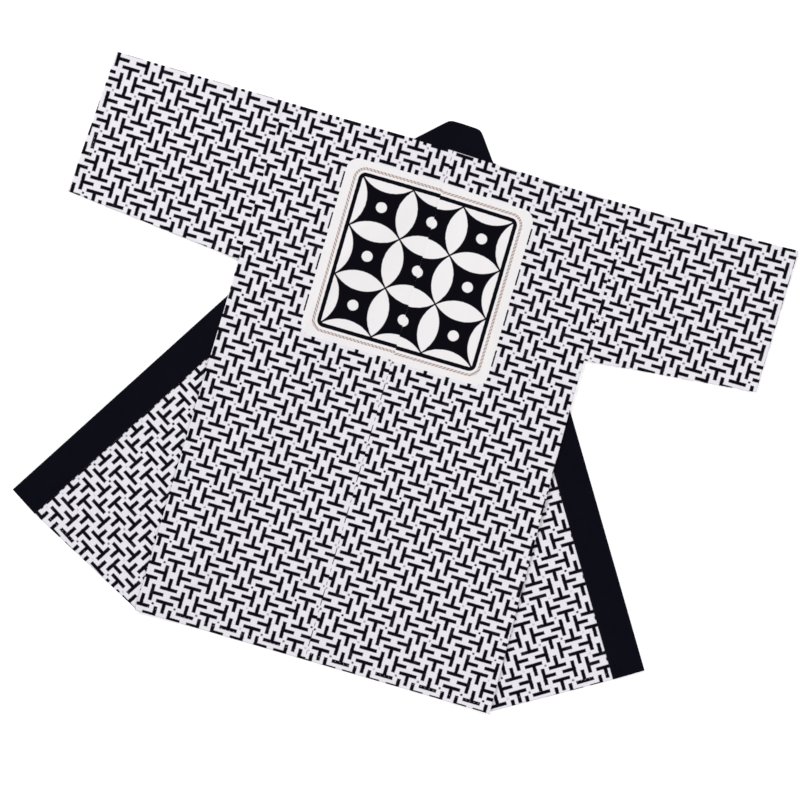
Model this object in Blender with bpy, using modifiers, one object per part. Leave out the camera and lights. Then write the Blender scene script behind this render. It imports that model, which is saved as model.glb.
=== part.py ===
"""A hanten, the short open coat of Japan, laid on a table with its back up and its fronts spread.

Metres, +Z up.  +Y runs towards the neck, and -X is the wearer's left.  Each half of the body is one
length of cloth, from the back hem over the shoulder to the front hem, as the real coat is cut.  Under
the back, each front is folded outward along a line from the hem's corner to the neck, so that its lower
part shows beside the back as a flare, with the collar band along its outer edge.

Places are given as (out, down): out is the distance from the centre seam, and down the distance from
the shoulder line towards the hem.
"""

import math

import bmesh
import bpy
import numpy as np

# Driving sizes of the cut
BACK_LENGTH = 0.975        # shoulder line to hem
HALF_NECK = 0.076          # centre seam to the end of the neck opening
SLEEVE_DEPTH_ROOT = 0.304  # shoulder line to the sleeve's lower edge, at the armhole
SLEEVE_DEPTH_CUFF = 0.271  # and at the cuff
COLLAR_WIDTH = 0.060
COLLAR_RISE = 0.051        # how far the band stands above the shoulder line
COLLAR_TUCK = 0.010        # how far it is tucked under the back's neckline
BAND_STRAIGHT = 0.110      # the band is straight from this far down
NECK_CURVE = 0.070         # and bends towards the neck over this length before

# Thicknesses and clearances
CLOTH = 0.0011
BAND = 0.0022              # the collar is cloth folded over an interfacing
GAP = 0.0003               # between pieces at a seam, and between layers
RIM_GAP = 0.0008           # between the middles of two rims that face each other in a turned seam
FOLD_GAP = 0.0013          # inside a fold, which cloth never closes fully
FOLD_REACH = 0.012         # how far from a fold its layers stay apart

# How each side lies.  armhole and hem are half of the back's width there, and cuff_top and cuff_foot
# the reach of the sleeve's ends.  sag is how far the shoulder line dips, and top the level part of the
# collar's top edge.  lean is the collar band's angle from the body's axis, seam_at where its seam line
# would meet the shoulder line, and end_down how far down the front's shown corner lies.
LAY = (
    {"side": "left", "sign": -1, "armhole": 0.323, "hem": 0.325, "cuff_top": 0.645, "cuff_foot": 0.659,
     "sag": 0.001, "top": 0.022, "lean": math.radians(31.6), "seam_at": 0.0245, "end_down": 0.857},
    {"side": "right", "sign": 1, "armhole": 0.338, "hem": 0.353, "cuff_top": 0.659, "cuff_foot": 0.657,
     "sag": 0.007, "top": 0.037, "lean": math.radians(32.3), "seam_at": 0.0155, "end_down": 0.851},
)
SAG_REACH = 0.300          # the dip has died out this far below the shoulder
FOLD_APEX = 0.022          # the tuck's two edges meet this far below the hem
TUCK_START = 0.205         # the front turns outward from here down
ARMPIT = 0.314             # the side seam is open down to here
WIDEN_FROM = 0.400         # the back's edges run straight down to here, then apart to the hem

# Easing of one layer over the edges of those beneath it
EASE_START = 0.030
EASE_END = 0.125

# The part's frame: the middle of the garment's outline
SHOULDER_Y = (BACK_LENGTH - COLLAR_RISE) / 2

# Grid counts
ARMHOLE_ROWS = 6
SIDE_ROWS = 14
TUCK_COLUMNS = 7
INNER_COLUMNS = 8
FLARE_COLUMNS = 5
SEAM_STEPS = 2
FOLD_STEPS = 4
SLEEVE_STATIONS = 8
SLEEVE_COLUMNS = 8
COLLAR_COLUMNS = 3
BAND_ROWS = 16


def smooth_step(x):
    """Rises from 0 to 1 as x does, level at both ends."""
    x = min(max(x, 0.0), 1.0)
    return x * x * (3 - 2 * x)


def cover(distance):
    """1 on and near what lies beneath, easing to 0 further off."""
    return 1 - smooth_step((distance - EASE_START) / (EASE_END - EASE_START))


def near_fold(distance):
    """1 at a fold, falling to 0 away from it."""
    return math.exp(-((distance / FOLD_REACH) ** 2))


def half_back(lay, down):
    """Half of the back's width at this distance below the shoulder."""
    below = max(down - WIDEN_FROM, 0) / (BACK_LENGTH - WIDEN_FROM)
    return lay["armhole"] + (lay["hem"] - lay["armhole"]) * below


def tuck_slope(lay):
    """How far out the tuck line runs for each metre down."""
    return (lay["hem"] - HALF_NECK) / (BACK_LENGTH + FOLD_APEX)


def tuck_line(lay, down):
    """The hidden fold of the front, a straight line from the neck to just below the hem's corner."""
    return HALF_NECK + tuck_slope(lay) * down


def seam_line(lay, down):
    """Where the collar band is sewn to the spread front."""
    return lay["seam_at"] + math.tan(lay["lean"]) * down


def across_band(lay, out, down):
    """Distance from the band's seam line, positive towards its free edge."""
    return (out - seam_line(lay, down)) * math.cos(lay["lean"])


def beneath_body(lay, out, down):
    """Height of the underside of the cloth that lies on the spread front and on the collar band."""
    across = across_band(lay, out, down)
    off_band = max(-across, across - COLLAR_WIDTH, 0)
    off_neck = math.hypot(max(out - HALF_NECK, 0), max(down - COLLAR_TUCK, 0))
    inner = min(tuck_line(lay, down), seam_line(lay, down))
    off_front = max(inner - out, across - COLLAR_WIDTH, 0)
    over_band = (BAND + GAP) * max(cover(off_band), cover(off_neck))
    over_front = (CLOTH + GAP) * cover(off_front)
    return max(over_band, over_front)


def tuck_lift(lay, out, down):
    """The front's own fold holds the layers above it a little higher."""
    if down < TUCK_START - EASE_START:
        return 0.0
    return (FOLD_GAP - GAP) * near_fold(out - tuck_line(lay, down))


def front_height(lay, out, down):
    """Middle of the cloth of the front, or of a sleeve's lower side."""
    return beneath_body(lay, out, down) + tuck_lift(lay, out, down) + CLOTH / 2


def back_height(lay, out, down, edge):
    """Middle of the cloth of the back, or of a sleeve's upper side.

    edge is how far the nearest fold or side seam is."""
    stacked = front_height(lay, out, down) + CLOTH + GAP + (FOLD_GAP - GAP) * near_fold(edge)
    inward = max(tuck_line(lay, down) - out, 0)
    alone = cover(inward) * (stacked - CLOTH / 2)
    across = across_band(lay, out, down)
    off_band = max(-across, across - COLLAR_WIDTH, 0)
    off_neck = math.hypot(max(out - HALF_NECK, 0), max(down - COLLAR_TUCK, 0))
    on_band = (BAND + GAP) * max(cover(off_band), cover(off_neck))
    return max(alone, on_band) + CLOTH / 2


def split(mesh, a, b, c, d):
    """A cell's two triangles.  The cut runs the same way in plan on every layer, so that layers which
    lie on each other bend along the same lines."""
    if (c.co.x - a.co.x) * (c.co.y - a.co.y) > 0:
        mesh.faces.new((a, b, c))
        mesh.faces.new((a, c, d))
    else:
        mesh.faces.new((a, b, d))
        mesh.faces.new((b, c, d))


def cloth_piece(grid, present, thickness, name, material, wrap=False):
    """One piece of cloth: an open surface over a grid of points, thickened to a wall.

    grid holds rows of points, and present says which cells between them are cloth.  With wrap, the
    last column joins the first."""
    columns = len(grid[0])
    mesh = bmesh.new()
    corners = {}
    for row, cells in enumerate(present):
        for column, is_cloth in enumerate(cells):
            if not is_cloth:
                continue
            after = (column + 1) % columns if wrap else column + 1
            keys = [(row, column), (row, after), (row + 1, after), (row + 1, column)]
            for key in keys:
                if key not in corners:
                    corners[key] = mesh.verts.new(grid[key[0]][key[1]])
            split(mesh, *(corners[key] for key in keys))
    bmesh.ops.recalc_face_normals(mesh, faces=mesh.faces)
    data = bpy.data.meshes.new(name)
    mesh.to_mesh(data)
    mesh.free()
    data.materials.append(material)
    data.shade_smooth()
    piece = bpy.data.objects.new(name, data)
    garment.objects.link(piece)
    thicken = piece.modifiers.new("thickness", "SOLIDIFY")
    thicken.thickness = thickness
    thicken.offset = 0
    thicken.use_even_offset = True
    thicken.use_quality_normals = True
    return piece


def place(lay, out, down, height):
    """A point of the part's frame, with the dip of the shoulder line."""
    dip = lay["sag"] * math.sin(math.pi * out / lay["cuff_top"]) * max(1 - down / SAG_REACH, 0)
    return (lay["sign"] * out, SHOULDER_Y - down - dip, height)


def quarter(step):
    """Angle of one step of a quarter turn."""
    return math.pi / 2 * step / (SEAM_STEPS + 1)


def half_turn(step):
    """Angle of one step of a half turn."""
    return math.pi * step / (FOLD_STEPS + 1)


def seam_points(lay, down, side_heights, upper):
    """The rounded edge at the side seam, from the seam inwards.

    Below the armpit the cloth turns down, or up, through a quarter circle.  Above it, beside the
    sleeve, it stays flat."""
    low, high = side_heights
    radius = (high - low - RIM_GAP) / 2
    start = half_back(lay, down) - radius - CLOTH / 2
    points = []
    for step in range(SEAM_STEPS + 1, 0, -1):
        if down > ARMPIT:
            out = start + radius * math.sin(quarter(step))
            drop = radius * (1 - math.cos(quarter(step)))
        else:
            out = start + (radius + CLOTH / 2) * step / (SEAM_STEPS + 1)
            drop = 0.0
        points.append((out, (high - drop) if upper else (low + drop)))
    return points


def edge_distance(lay, out, down):
    """How far a point of the back is from its side seam, or from the shoulder's fold."""
    to_side = half_back(lay, down) - out if down > ARMPIT else 1.0
    to_shoulder = down if out > HALF_NECK - FOLD_REACH else 1.0
    return min(to_side, to_shoulder)


def body_row(lay, down, upper):
    """One row of a half of the body across the cloth: the back's if upper, or else the front's.

    The back's row runs from the side seam to the centre seam.  The front's runs from the side seam to
    the tuck line, turns there, and comes out again to the collar band."""
    side = half_back(lay, down) - FOLD_GAP
    low = front_height(lay, side, down)
    high = back_height(lay, side, down, edge_distance(lay, side, down))
    row = [place(lay, out, down, height) for out, height in seam_points(lay, down, (low, high), upper)]
    start = half_back(lay, down) - (high - low - RIM_GAP) / 2 - CLOTH / 2
    tuck = tuck_line(lay, down)
    for step in range(TUCK_COLUMNS + 1):
        out = start + (tuck - start) * step / TUCK_COLUMNS
        if upper:
            height = back_height(lay, out, down, edge_distance(lay, out, down))
        else:
            height = front_height(lay, out, down)
        row.append(place(lay, out, down, height))
    if upper:
        for step in range(1, INNER_COLUMNS + 1):
            out = tuck + (GAP / 2 - tuck) * step / INNER_COLUMNS
            row.append(place(lay, out, down, back_height(lay, out, down, edge_distance(lay, out, down))))
        return row
    bottom = CLOTH / 2
    radius = (front_height(lay, tuck, down) - bottom) / 2
    for step in range(1, FOLD_STEPS + 1):
        angle = half_turn(step)
        height = bottom + radius + radius * math.cos(angle)
        row.append(place(lay, tuck - radius * math.sin(angle), down, height))
    crossing = (HALF_NECK - lay["seam_at"]) / (math.tan(lay["lean"]) - tuck_slope(lay))
    end_down = crossing + (down - crossing) * (lay["end_down"] - crossing) / (BACK_LENGTH - crossing)
    end_out = seam_line(lay, end_down) - GAP / math.cos(lay["lean"])
    for step in range(FLARE_COLUMNS + 1):
        share = step / FLARE_COLUMNS
        out = tuck + (end_out - tuck) * share
        row.append(place(lay, out, down + (end_down - down) * share, bottom))
    return row


def shoulder_row(lay, step, back_row, front_row):
    """One row of the fold over the shoulder, between the top rows of the back and of the front."""
    angle = half_turn(step)
    row = []
    for upper, lower in zip(back_row, front_row):
        radius = (upper[2] - lower[2]) / 2
        height = lower[2] + radius + radius * math.cos(angle)
        row.append((upper[0], upper[1] + radius * math.sin(angle), height))
    return row


def body_half(lay):
    """One length of cloth: the back, the fold over the shoulder, and the front with its tuck."""
    fold_line = (2 * CLOTH + FOLD_GAP) / 2
    armhole = SLEEVE_DEPTH_ROOT + GAP - fold_line
    downs = [fold_line + armhole * row / ARMHOLE_ROWS for row in range(ARMHOLE_ROWS + 1)]
    downs += [ARMPIT + (BACK_LENGTH - ARMPIT) * row / SIDE_ROWS for row in range(SIDE_ROWS + 1)]
    shared = SEAM_STEPS + 1 + TUCK_COLUMNS + 1
    back = [body_row(lay, down, True) for down in downs]
    front = [body_row(lay, down, False) for down in downs]
    width = max(len(back[0]), len(front[0]))

    def padded(row):
        """Rows of one length, so that they make a grid; the filler is never cloth."""
        return row + [row[-1]] * (width - len(row))

    grid = [padded(row) for row in reversed(back)]
    grid += [padded(shoulder_row(lay, step, back[0][:shared], front[0][:shared]))
             for step in range(1, FOLD_STEPS + 1)]
    grid += [padded(row) for row in front]
    present = []
    for row in range(len(grid) - 1):
        front_index = row - (len(back) + FOLD_STEPS)
        if row < len(back) - 1:
            last = len(back[0]) - 1
        elif front_index >= 0 and downs[front_index] > TUCK_START:
            last = len(front[0]) - 1
        else:
            last = shared - 1
        present.append([column < last for column in range(width - 1)])
    return cloth_piece(grid, present, CLOTH, "body_" + lay["side"], materials["cloth"])


def sleeve_fold(high, low, way):
    """The turn between a sleeve's upper and lower sides; way is 1 at its lower edge, -1 at the top."""
    radius = (high[2] - low[2]) / 2
    points = []
    for step in range(1, FOLD_STEPS + 1):
        angle = half_turn(step)
        height = low[2] + radius + radius * math.cos(angle)
        points.append((high[0], high[1] + way * radius * math.sin(angle), height))
    return points


def sleeve(lay):
    """A sleeve pressed flat: one piece of cloth folded at the top and joined along its lower edge."""
    rings = []
    for station in range(SLEEVE_STATIONS + 1):
        share = station / SLEEVE_STATIONS
        depth = SLEEVE_DEPTH_ROOT + (SLEEVE_DEPTH_CUFF - SLEEVE_DEPTH_ROOT) * share
        fold = (2 * CLOTH + FOLD_GAP) / 2
        upper, lower = [], []
        for step in range(SLEEVE_COLUMNS + 1):
            down = fold + (depth - 2 * fold) * step / SLEEVE_COLUMNS
            tip = lay["cuff_top"] + (lay["cuff_foot"] - lay["cuff_top"]) * down / depth
            root = lay["armhole"] + GAP
            out = root + (tip - root) * share
            low = front_height(lay, out, down)
            lift = (FOLD_GAP - GAP) * (near_fold(down - fold) + near_fold(depth - fold - down))
            upper.append((out, down, low + CLOTH + GAP + lift))
            lower.append((out, down, low))
        ring = list(upper)
        ring += sleeve_fold(upper[-1], lower[-1], 1)
        ring += reversed(lower)
        ring += reversed(sleeve_fold(upper[0], lower[0], -1))
        rings.append([place(lay, *point) for point in ring])
    present = [[True] * len(rings[0]) for _ in rings[:-1]]
    return cloth_piece(rings, present, CLOTH, "sleeve_" + lay["side"], materials["cloth"], wrap=True)


def curve_through(points, count):
    """Points spaced along a smooth curve (Catmull-Rom) through a few given ones."""
    points = [np.array(p, float) for p in points]
    points = [2 * points[0] - points[1]] + points + [2 * points[-1] - points[-2]]
    spans = len(points) - 3
    result = []
    for step in range(count + 1):
        place_on = min(step / count * spans, spans - 1e-9)
        index = int(place_on)
        t = place_on - index
        a, b, c, d = points[index:index + 4]
        result.append(0.5 * (2 * b + (c - a) * t + (2 * a - 5 * b + 4 * c - d) * t * t
                             + (3 * b - a - 3 * c + d) * t ** 3))
    return result


def band_edges(lay):
    """The free edge and the sewn edge of half of the collar, from the centre of the neck to the hem."""
    along = np.array((math.sin(lay["lean"]), math.cos(lay["lean"])))
    outward = np.array((math.cos(lay["lean"]), -math.sin(lay["lean"])))
    start = np.array((seam_line(lay, BAND_STRAIGHT), BAND_STRAIGHT))
    hem = np.array((seam_line(lay, lay["end_down"]), lay["end_down"]))
    neck_free = np.array([(0, -COLLAR_RISE), (lay["top"], -COLLAR_RISE), (HALF_NECK, 0),
                          start + outward * COLLAR_WIDTH])
    neck_sewn = [(0, COLLAR_TUCK), (lay["top"] / 2, COLLAR_TUCK), start - along * NECK_CURVE, start]
    free = [a + (b - a) * half / 2 for a, b in zip(neck_free, neck_free[1:]) for half in range(2)]
    sewn = curve_through(neck_sewn, len(free))[:-1]
    for row in range(BAND_ROWS + 1):
        spot = start + (hem - start) * row / BAND_ROWS
        sewn.append(spot)
        free.append(spot + outward * COLLAR_WIDTH)
    return free, sewn


def collar():
    """The collar, one band from hem to hem round the back of the neck, lying flat."""
    rows = []
    for lay in LAY:
        free, sewn = band_edges(lay)
        half = []
        for outer, inner in zip(free, sewn):
            across = []
            for step in range(COLLAR_COLUMNS + 1):
                out, down = outer + (inner - outer) * step / COLLAR_COLUMNS
                across.append(place(lay, out, down, BAND / 2))
            half.append(across)
        rows = half[::-1] if not rows else rows + half[1:]
    present = [[True] * COLLAR_COLUMNS for _ in rows[:-1]]
    return cloth_piece(rows, present, BAND, "collar", materials["collar"])


def cloth_material(name, colour, roughness):
    """A plain matt fabric."""
    material = bpy.data.materials.new(name)
    material.use_nodes = True
    shader = material.node_tree.nodes["Principled BSDF"]
    shader.inputs["Base Color"].default_value = (*colour, 1)
    shader.inputs["Roughness"].default_value = roughness
    shader.inputs["Metallic"].default_value = 0.0
    material.diffuse_color = (*colour, 1)
    return material


for old in list(bpy.data.objects):
    bpy.data.objects.remove(old)

garment = bpy.data.collections.new("hanten")
bpy.context.scene.collection.children.link(garment)
materials = {
    "cloth": cloth_material("printed_cotton", (0.62, 0.61, 0.64), 0.9),
    "collar": cloth_material("collar_cotton", (0.012, 0.013, 0.022), 0.85),
}

for side_lay in LAY:
    body_half(side_lay)
    sleeve(side_lay)
collar()
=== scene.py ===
# %% [markdown]
# A hanten laid out flat
#
# A hanten is the short open coat of Japan: two lengths of narrow cloth for the body, a straight sleeve
# on each side, and a black band round the neck and down both fronts.  Here it lies on a table with its
# back up.  Under the back, each front is folded outward, so that its lower part shows beside the back
# as a flare.  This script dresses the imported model, which gives the size and place of every piece.

# %% Load the frame
import math

import bpy
import numpy as np
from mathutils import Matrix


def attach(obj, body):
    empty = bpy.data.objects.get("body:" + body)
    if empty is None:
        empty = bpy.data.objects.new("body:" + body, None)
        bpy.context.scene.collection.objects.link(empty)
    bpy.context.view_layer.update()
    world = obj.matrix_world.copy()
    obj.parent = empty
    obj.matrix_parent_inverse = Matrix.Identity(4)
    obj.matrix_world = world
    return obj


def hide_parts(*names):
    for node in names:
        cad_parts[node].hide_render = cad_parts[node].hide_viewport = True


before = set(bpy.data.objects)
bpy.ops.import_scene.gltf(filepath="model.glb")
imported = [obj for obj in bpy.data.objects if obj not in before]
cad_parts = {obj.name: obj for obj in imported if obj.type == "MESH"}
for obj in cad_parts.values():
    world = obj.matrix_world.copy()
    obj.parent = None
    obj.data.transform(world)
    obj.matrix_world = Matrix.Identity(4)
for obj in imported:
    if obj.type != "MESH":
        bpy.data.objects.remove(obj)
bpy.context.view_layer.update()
print("nodes to dress:", sorted(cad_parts))

# %% [markdown]
# The cut, in metres
#
# The numbers are the real coat's sizes, the same ones that its solids were made from.  A place on the
# coat is (out, down): out from the centre seam, and down from the shoulder line.  One row for each side
# says how that side happens to lie, and how far the print is shifted on each of its parts, because
# the cloth is cut without matching the print at the seams.

# %% Sizes of the cut
BACK_LENGTH = 0.975
HALF_NECK = 0.076
SLEEVE_DEPTH_ROOT = 0.304
SLEEVE_DEPTH_CUFF = 0.271
COLLAR_WIDTH = 0.060
COLLAR_RISE = 0.051
COLLAR_TUCK = 0.010
BAND_STRAIGHT = 0.110
NECK_CURVE = 0.070
FOLD_APEX = 0.022
TUCK_START = 0.205
ARMPIT = 0.314
WIDEN_FROM = 0.400
SAG_REACH = 0.300
SHOULDER_Y = (BACK_LENGTH - COLLAR_RISE) / 2

SOLID_CLOTH = 0.0011       # the solids' walls, which keep the layers apart
SOLID_BAND = 0.0022
CLOTH = 0.0008             # what is drawn: real cotton, a little thinner
BAND = 0.0020
GAP = 0.0003
FOLD_GAP = 0.0013
FOLD_REACH = 0.012
EASE_START = 0.030
EASE_END = 0.125
SEAM_SLIT = 0.00005        # the pieces meet at their seams but for this
SHOULDER_FOLD = (2 * SOLID_CLOTH + FOLD_GAP) / 2

LAY = {
    "left": {"sign": -1, "armhole": 0.323, "hem": 0.325, "cuff_top": 0.645, "cuff_foot": 0.659,
             "sag": 0.001, "top": 0.022, "lean": math.radians(31.6), "seam_at": 0.0245,
             "end_down": 0.857, "back_print": (-0.0018, 0.0), "sleeve_print": (0.0239, 0.0201),
             "flare_print": (0.0013, -0.0224)},
    "right": {"sign": 1, "armhole": 0.338, "hem": 0.353, "cuff_top": 0.659, "cuff_foot": 0.657,
              "sag": 0.007, "top": 0.037, "lean": math.radians(32.3), "seam_at": 0.0155,
              "end_down": 0.851, "back_print": (0.0018, -0.0023), "sleeve_print": (0.0134, 0.0505),
              "flare_print": (-0.0144, -0.0260)},
}
print("back", BACK_LENGTH, "m long,", round(LAY["left"]["hem"] + LAY["right"]["hem"], 3), "m wide at the hem")

# %% [markdown]
# Creases, listed one by one
#
# Flat cotton is never quite flat.  It keeps long soft ridges where it was pulled straight, and short
# ones where a seam is a little tight.  Each row below is one ridge, with its middle, the way it runs,
# its length, its width and its height.  The first table lifts every layer at once, so that no layer
# cuts another.  The second lifts only the uppermost layer.

# %% Tables of creases
# x and y of the middle, angle in degrees, length, width and height in metres
DEEP_CREASES = (
    (-0.452, -0.225, 62, 0.260, 0.016, 0.0012),
    (-0.392, -0.330, 66, 0.180, 0.012, 0.0009),
    (0.470, -0.250, 118, 0.240, 0.015, 0.0012),
    (0.405, -0.300, 113, 0.200, 0.013, 0.0010),
    (-0.180, -0.200, 97, 0.420, 0.020, 0.0010),
    (0.205, -0.235, 84, 0.380, 0.018, 0.0011),
    (-0.470, 0.330, 8, 0.260, 0.018, 0.0009),
    (0.500, 0.300, -10, 0.240, 0.016, 0.0010),
)
TOP_CREASES = (
    (-0.262, 0.120, 38, 0.150, 0.011, 0.0017),
    (-0.285, 0.065, 52, 0.130, 0.010, 0.0014),
    (0.285, 0.118, 140, 0.160, 0.011, 0.0019),
    (0.300, 0.050, 126, 0.120, 0.010, 0.0014),
    (-0.385, 0.205, 155, 0.120, 0.010, 0.0014),
    (0.395, 0.195, 24, 0.130, 0.010, 0.0016),
    (-0.545, 0.270, 96, 0.170, 0.012, 0.0013),
    (-0.600, 0.360, 81, 0.110, 0.010, 0.0012),
    (0.560, 0.255, 85, 0.160, 0.012, 0.0014),
    (0.610, 0.350, 100, 0.120, 0.010, 0.0012),
    (-0.095, -0.300, 12, 0.190, 0.014, 0.0014),
    (0.120, -0.125, 168, 0.210, 0.015, 0.0014),
    (-0.230, -0.420, 74, 0.120, 0.011, 0.0016),
    (0.250, -0.430, 106, 0.130, 0.011, 0.0016),
    (0.030, -0.435, 88, 0.110, 0.012, 0.0013),
    (-0.140, 0.020, 160, 0.170, 0.014, 0.0012),
    (0.165, 0.430, 176, 0.150, 0.010, 0.0010),
    (-0.210, 0.425, 5, 0.160, 0.010, 0.0010),
)


def ridges(table, x, y):
    """Height of a table's soft ridges over the plan.

    Each ridge is a bell curve across its line, and fades along it as one minus the square of the
    distance from its middle, squared again, so that both ends run out level."""
    total = np.zeros(np.broadcast(x, y).shape)
    for middle_x, middle_y, angle, length, width, height in table:
        turn = math.radians(angle)
        along = (x - middle_x) * math.cos(turn) + (y - middle_y) * math.sin(turn)
        across = -(x - middle_x) * math.sin(turn) + (y - middle_y) * math.cos(turn)
        across = across + 0.04 * length * np.sin(3 * along / length)
        fade = np.clip(1 - (2 * along / length) ** 2, 0, 1) ** 2
        total = total + height * fade * np.exp(-(across / width) ** 2)
    return total


print("creases:", len(DEEP_CREASES), "through all layers,", len(TOP_CREASES), "in the top layer")

# %% [markdown]
# How the layers lie on each other
#
# From the table up there are the collar band and the spread part of the front, then the rest of the
# front, then the back.  Each height is a formula of the place: full on what lies beneath, and easing
# down beside it.  The formulas are those of the solids, so each piece lies in its own solid's place.

# %% Heights of the layers


def cover(distance):
    """1 on and near what lies beneath, falling to 0 further off along a cubic step."""
    x = np.clip((distance - EASE_START) / (EASE_END - EASE_START), 0, 1)
    return 1 - x * x * (3 - 2 * x)


def near_fold(distance):
    """1 at a fold, falling to 0 beside it as a bell curve."""
    return np.exp(-(distance / FOLD_REACH) ** 2)


def half_back(lay, down):
    """Half of the back's width: even down to the hips, then wider in proportion to the hem."""
    below = np.maximum(down - WIDEN_FROM, 0) / (BACK_LENGTH - WIDEN_FROM)
    return lay["armhole"] + (lay["hem"] - lay["armhole"]) * below


def tuck_slope(lay):
    """How far out the tuck line runs for each metre down."""
    return (lay["hem"] - HALF_NECK) / (BACK_LENGTH + FOLD_APEX)


def tuck_line(lay, down):
    """The hidden fold of the front: a straight line from the neck to just below the hem's corner."""
    return HALF_NECK + tuck_slope(lay) * down


def seam_line(lay, down):
    """The line where the collar band is sewn to the spread front."""
    return lay["seam_at"] + math.tan(lay["lean"]) * down


def over_collar(lay, out, down):
    """How much of the band's height a layer on it has: 1 over the band and over the neck's tuck."""
    across = (out - seam_line(lay, down)) * math.cos(lay["lean"])
    off_band = np.maximum(np.maximum(-across, across - COLLAR_WIDTH), 0)
    off_neck = np.hypot(np.maximum(out - HALF_NECK, 0), np.maximum(down - COLLAR_TUCK, 0))
    return np.maximum(cover(off_band), cover(off_neck))


def front_height(lay, out, down):
    """Middle of the cloth of the front, or of a sleeve's lower side.

    It lies on the collar band or on the spread front, whichever is higher, and the front's own fold
    holds it up a little more."""
    across = (out - seam_line(lay, down)) * math.cos(lay["lean"])
    inner = np.minimum(tuck_line(lay, down), seam_line(lay, down))
    off_front = np.maximum(np.maximum(inner - out, across - COLLAR_WIDTH), 0)
    on_front = (SOLID_CLOTH + GAP) * cover(off_front)
    beneath = np.maximum((SOLID_BAND + GAP) * over_collar(lay, out, down), on_front)
    folded = (FOLD_GAP - GAP) * near_fold(out - tuck_line(lay, down))
    folded = np.where(down < TUCK_START - EASE_START, 0, folded)
    return beneath + folded + SOLID_CLOTH / 2


def back_height(lay, out, down, edge):
    """Middle of the cloth of the back, or of a sleeve's upper side.

    Outside the tuck line it is one layer above the front.  Inside, it eases down to the table, or to
    the band where the neck is.  edge is the distance to the nearest fold or side seam."""
    stacked = front_height(lay, out, down) + SOLID_CLOTH + GAP + (FOLD_GAP - GAP) * near_fold(edge)
    inward = np.maximum(tuck_line(lay, down) - out, 0)
    alone = cover(inward) * (stacked - SOLID_CLOTH / 2)
    on_band = (SOLID_BAND + GAP) * over_collar(lay, out, down)
    return np.maximum(alone, on_band) + SOLID_CLOTH / 2


print("height over the hips:", np.round(back_height(LAY["left"], 0.25, 0.6, 1.0) * 1000, 2), "mm")

# %% [markdown]
# From cloth to table
#
# A real coat shows where it was sewn.  Along a seam the cloth rolls down a little and puckers between
# the stitches, and at a hem it is double.  These small forms are added to the heights, always upwards
# in the upper layer, together with the creases.

# %% Placing points on the table
PUCKER_REACH = 0.016
HEM_FOLD = 0.014           # width of the hem, turned in
CUFF_FOLD = 0.016


def place(lay, out, down, height):
    """Points of the coat's frame, rows of x, y and z, with the dip of the shoulder line.

    The creases that go through all layers are added here, so every piece gets the same ones."""
    dip = lay["sag"] * np.sin(math.pi * out / lay["cuff_top"]) * np.maximum(1 - down / SAG_REACH, 0)
    x = lay["sign"] * out
    y = SHOULDER_Y - down - dip
    return np.stack([x, y, height + ridges(DEEP_CREASES, x, y)], axis=-1)


def puckers(distance, along, waves, height=0.0005):
    """Small ripples beside a seam: a sum of sines along it, squared, that dies out away from it."""
    ripple = sum(np.sin(math.tau * along / wave + 1.7 * number) for number, wave in enumerate(waves))
    return height * (ripple / len(waves)) ** 2 * np.exp(-distance / PUCKER_REACH)


def seam_roll(distance):
    """Cloth rolls down towards a pressed seam, through a bell curve 2.5 mm wide."""
    return -0.00025 * np.exp(-(distance / 0.0025) ** 2)


def double_cloth(distance, width, thickness=0.0004):
    """The raised strip of a hem: full height within its width of the edge, then a short slope."""
    return thickness / (1 + np.exp((distance - width) / 0.0008))


def upper_relief(lay, out, down):
    """What only the uppermost layer of the body has: creases, puckers, seam rolls and hem."""
    x = lay["sign"] * out
    y = SHOULDER_Y - down
    relief = ridges(TOP_CREASES, x, y)
    relief = relief + puckers(out, down, (0.031, 0.019, 0.047))
    armhole = np.abs(half_back(lay, down) - out)
    beside_sleeve = 1 / (1 + np.exp((down - SLEEVE_DEPTH_ROOT) / 0.004))
    relief = relief + beside_sleeve * puckers(armhole, down, (0.023, 0.037, 0.014))
    relief = relief + (1 - beside_sleeve) * puckers(armhole, down, (0.052, 0.033, 0.021), 0.0007)
    relief = relief + double_cloth(BACK_LENGTH - down, HEM_FOLD)
    return relief + seam_roll(out) + beside_sleeve * seam_roll(armhole)


# %% [markdown]
# A piece of cloth as a grid
#
# Every piece is one grid of points with the cloth's own coordinates, in metres, as its UV map: u runs
# across the loom's width and v along its length.  A print laid on those coordinates turns with the
# cloth at each fold, as the real one does.  Cells that aren't cloth are masked out, and Solidify gives
# the wall its thickness.  A point of the wrong side gets the second material.

# %% Making a cloth piece


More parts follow.
